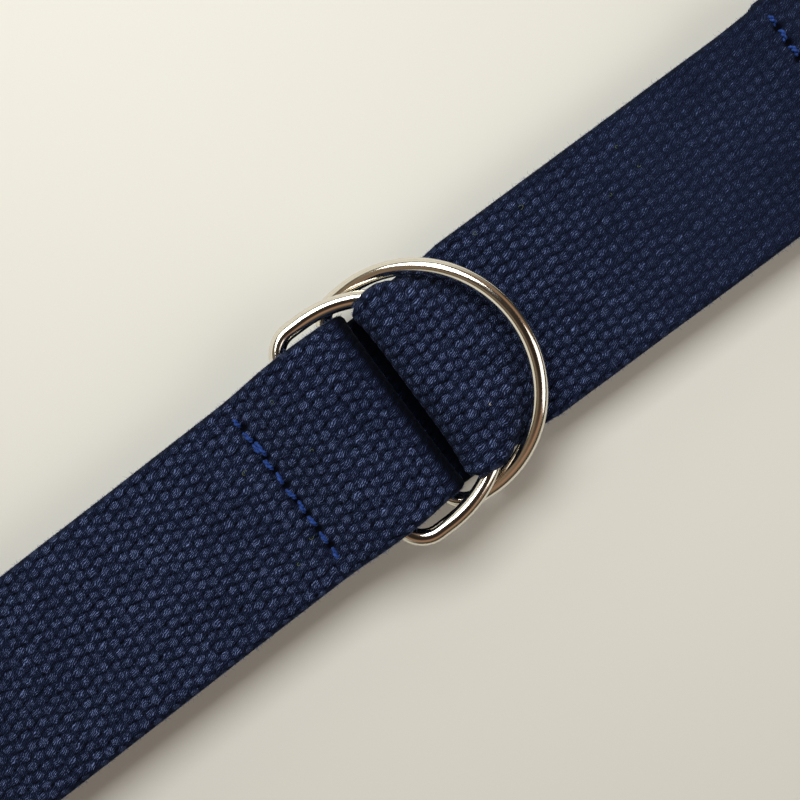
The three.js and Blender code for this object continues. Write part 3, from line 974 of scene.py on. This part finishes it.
def add_lint(points, faces, x, y, curl_radius, turned):
    """One curled fibre on the webbing."""
    stretch, face = (front_stretch, -1) if x < 0 else (tongue_stretch, 1)
    foot_point, out = surface_at(x, y + belt_side, stretch, face)
    base = len(points)
    for joint in range(lint_joints):
        angle = math.radians(turned + joint * lint_joint_turn)
        centre = foot_point + out * (lint_height + lint_climb * joint)
        centre = centre + np.array([math.cos(angle), math.sin(angle) * 0.7, 0.0]) * curl_radius
        radial = np.array([math.cos(angle), math.sin(angle), 0.0])
        for spoke in range(lint_sides):
            around = 2 * math.pi * spoke / lint_sides
            points.append(centre + (radial * math.cos(around) + out * math.sin(around)) * lint_radius)
    add_tube_faces(faces, base, lint_joints - 1, lint_sides)


for look, base_colour in lint_looks.items():
    lint, lint_shader, _ = start_material("lint_" + look)
    lint_shader.inputs["Base Color"].default_value = base_colour
    lint_shader.inputs["Roughness"].default_value = 0.9
    lint_points, lint_faces = [], []
    for x, y, curl_radius, turned, kind in lint_rows:
        if kind == look:
            add_lint(lint_points, lint_faces, x, y, curl_radius, turned)
    lint_piece = make_piece("lint_" + look, lint_points, lint_faces, lint)

# The belt lies on a pale matt table top. It only carries the belt in the picture, and isn't a
# piece of it.
table_half = 0.8               # metres
table_mesh = bpy.data.meshes.new("table_top")
table_mesh.from_pydata([(-table_half, -table_half, 0), (table_half, -table_half, 0),
                        (table_half, table_half, 0), (-table_half, table_half, 0)], [], [(0, 1, 2, 3)])
table = bpy.data.objects.new("table_top", table_mesh)
bpy.context.scene.collection.objects.link(table)
table_paint, table_shader, _ = start_material("pale_table")
table_shader.inputs["Base Color"].default_value = (0.765, 0.775, 0.73, 1)
table_shader.inputs["Roughness"].default_value = 0.7
table_shader.inputs["Specular IOR Level"].default_value = 0.2
table_mesh.materials.append(table_paint)

# Two soft lights, like windows: one close over the table beyond the rings, one larger and weaker
# at the lower right of the picture. Places are in metres.
window_colour = (0.985, 0.98, 0.955)
window_rows = (
    # name, place, size, power
    ("window", (0.005, 0.212, 0.34), (0.24, 0.20), 1.30),
    ("side_window", (0.287, -0.254, 0.321), (0.36, 0.34), 0.66),
)
for name, place, size, power in window_rows:
    light_data = bpy.data.lights.new(name, "AREA")
    light_data.shape = "RECTANGLE"
    light_data.size, light_data.size_y = size
    light_data.energy = power
    light_data.color = window_colour
    lamp = bpy.data.objects.new(name, light_data)
    lamp.location = place
    lamp.rotation_mode = "QUATERNION"
    lamp.rotation_quaternion = Vector(-np.array(place)).to_track_quat("-Z", "Y")
    bpy.context.scene.collection.objects.link(lamp)

# The room round the table: its walls are dim on one side and bright towards the upper left of the
# picture. The rings show them as bands of light and dark.
world = bpy.data.worlds.new("room")
world.use_nodes = True
maker = Wire(world.node_tree)
sky_way = maker.node("TexCoord", output="Generated")
height = maker.node("SeparateXYZ", None, {0: sky_way}, output=2)
bright_side = maker.node("VectorMath", {"operation": "DOT_PRODUCT"}, {0: sky_way, 1: (-0.55, 0.83, 0.0)},
                         output="Value")
bright_side = maker.node("MapRange", {"interpolation_type": "SMOOTHSTEP"},
                         {"Value": bright_side, "From Min": -0.35, "From Max": 0.45})
dim_wall = maker.node("ValToRGB", {"stops": [
    (0.0, (0.04, 0.035, 0.03)),
    (0.25, (0.07, 0.06, 0.035)),
    (0.50, (0.28, 0.19, 0.12)),
    (0.72, (0.50, 0.28, 0.18)),
    (0.84, (0.10, 0.07, 0.05)),
    (0.95, (0.03, 0.02, 0.015)),
]}, {0: height})
bright_wall = maker.node("ValToRGB", {"stops": [
    (0.0, (1.00, 0.97, 0.85)),
    (0.44, (1.05, 1.02, 0.89)),
    (0.54, (0.07, 0.065, 0.03)),
    (0.78, (0.30, 0.22, 0.15)),
    (0.92, (0.04, 0.03, 0.02)),
]}, {0: height})
room = maker.node("Mix", {"data_type": "RGBA"}, {0: bright_side, 6: dim_wall, 7: bright_wall}, output=2)
plug(room, world.node_tree.nodes["Background"], "Color")
world.node_tree.nodes["Background"].inputs["Strength"].default_value = 0.8
bpy.context.scene.world = world

# The camera stands straight over the rings, turned so that the belt runs to the upper right. Its
# lens takes in about 140 mm of the table.
camera_data = bpy.data.cameras.new("camera")
camera_data.sensor_width = 36.0
camera_data.lens = 791.0 / 800.0 * 36.0
camera_data.clip_start = 0.01
camera_data.clip_end = 20.0
camera = bpy.data.objects.new("camera", camera_data)
camera.location = (0.0, belt_side * 0.001, 0.1514)
camera.rotation_euler = (0.0, 0.0, -math.radians(36.5))
bpy.context.scene.collection.objects.link(camera)
bpy.context.scene.camera = camera
bpy.context.scene.view_settings.view_transform = "Standard"
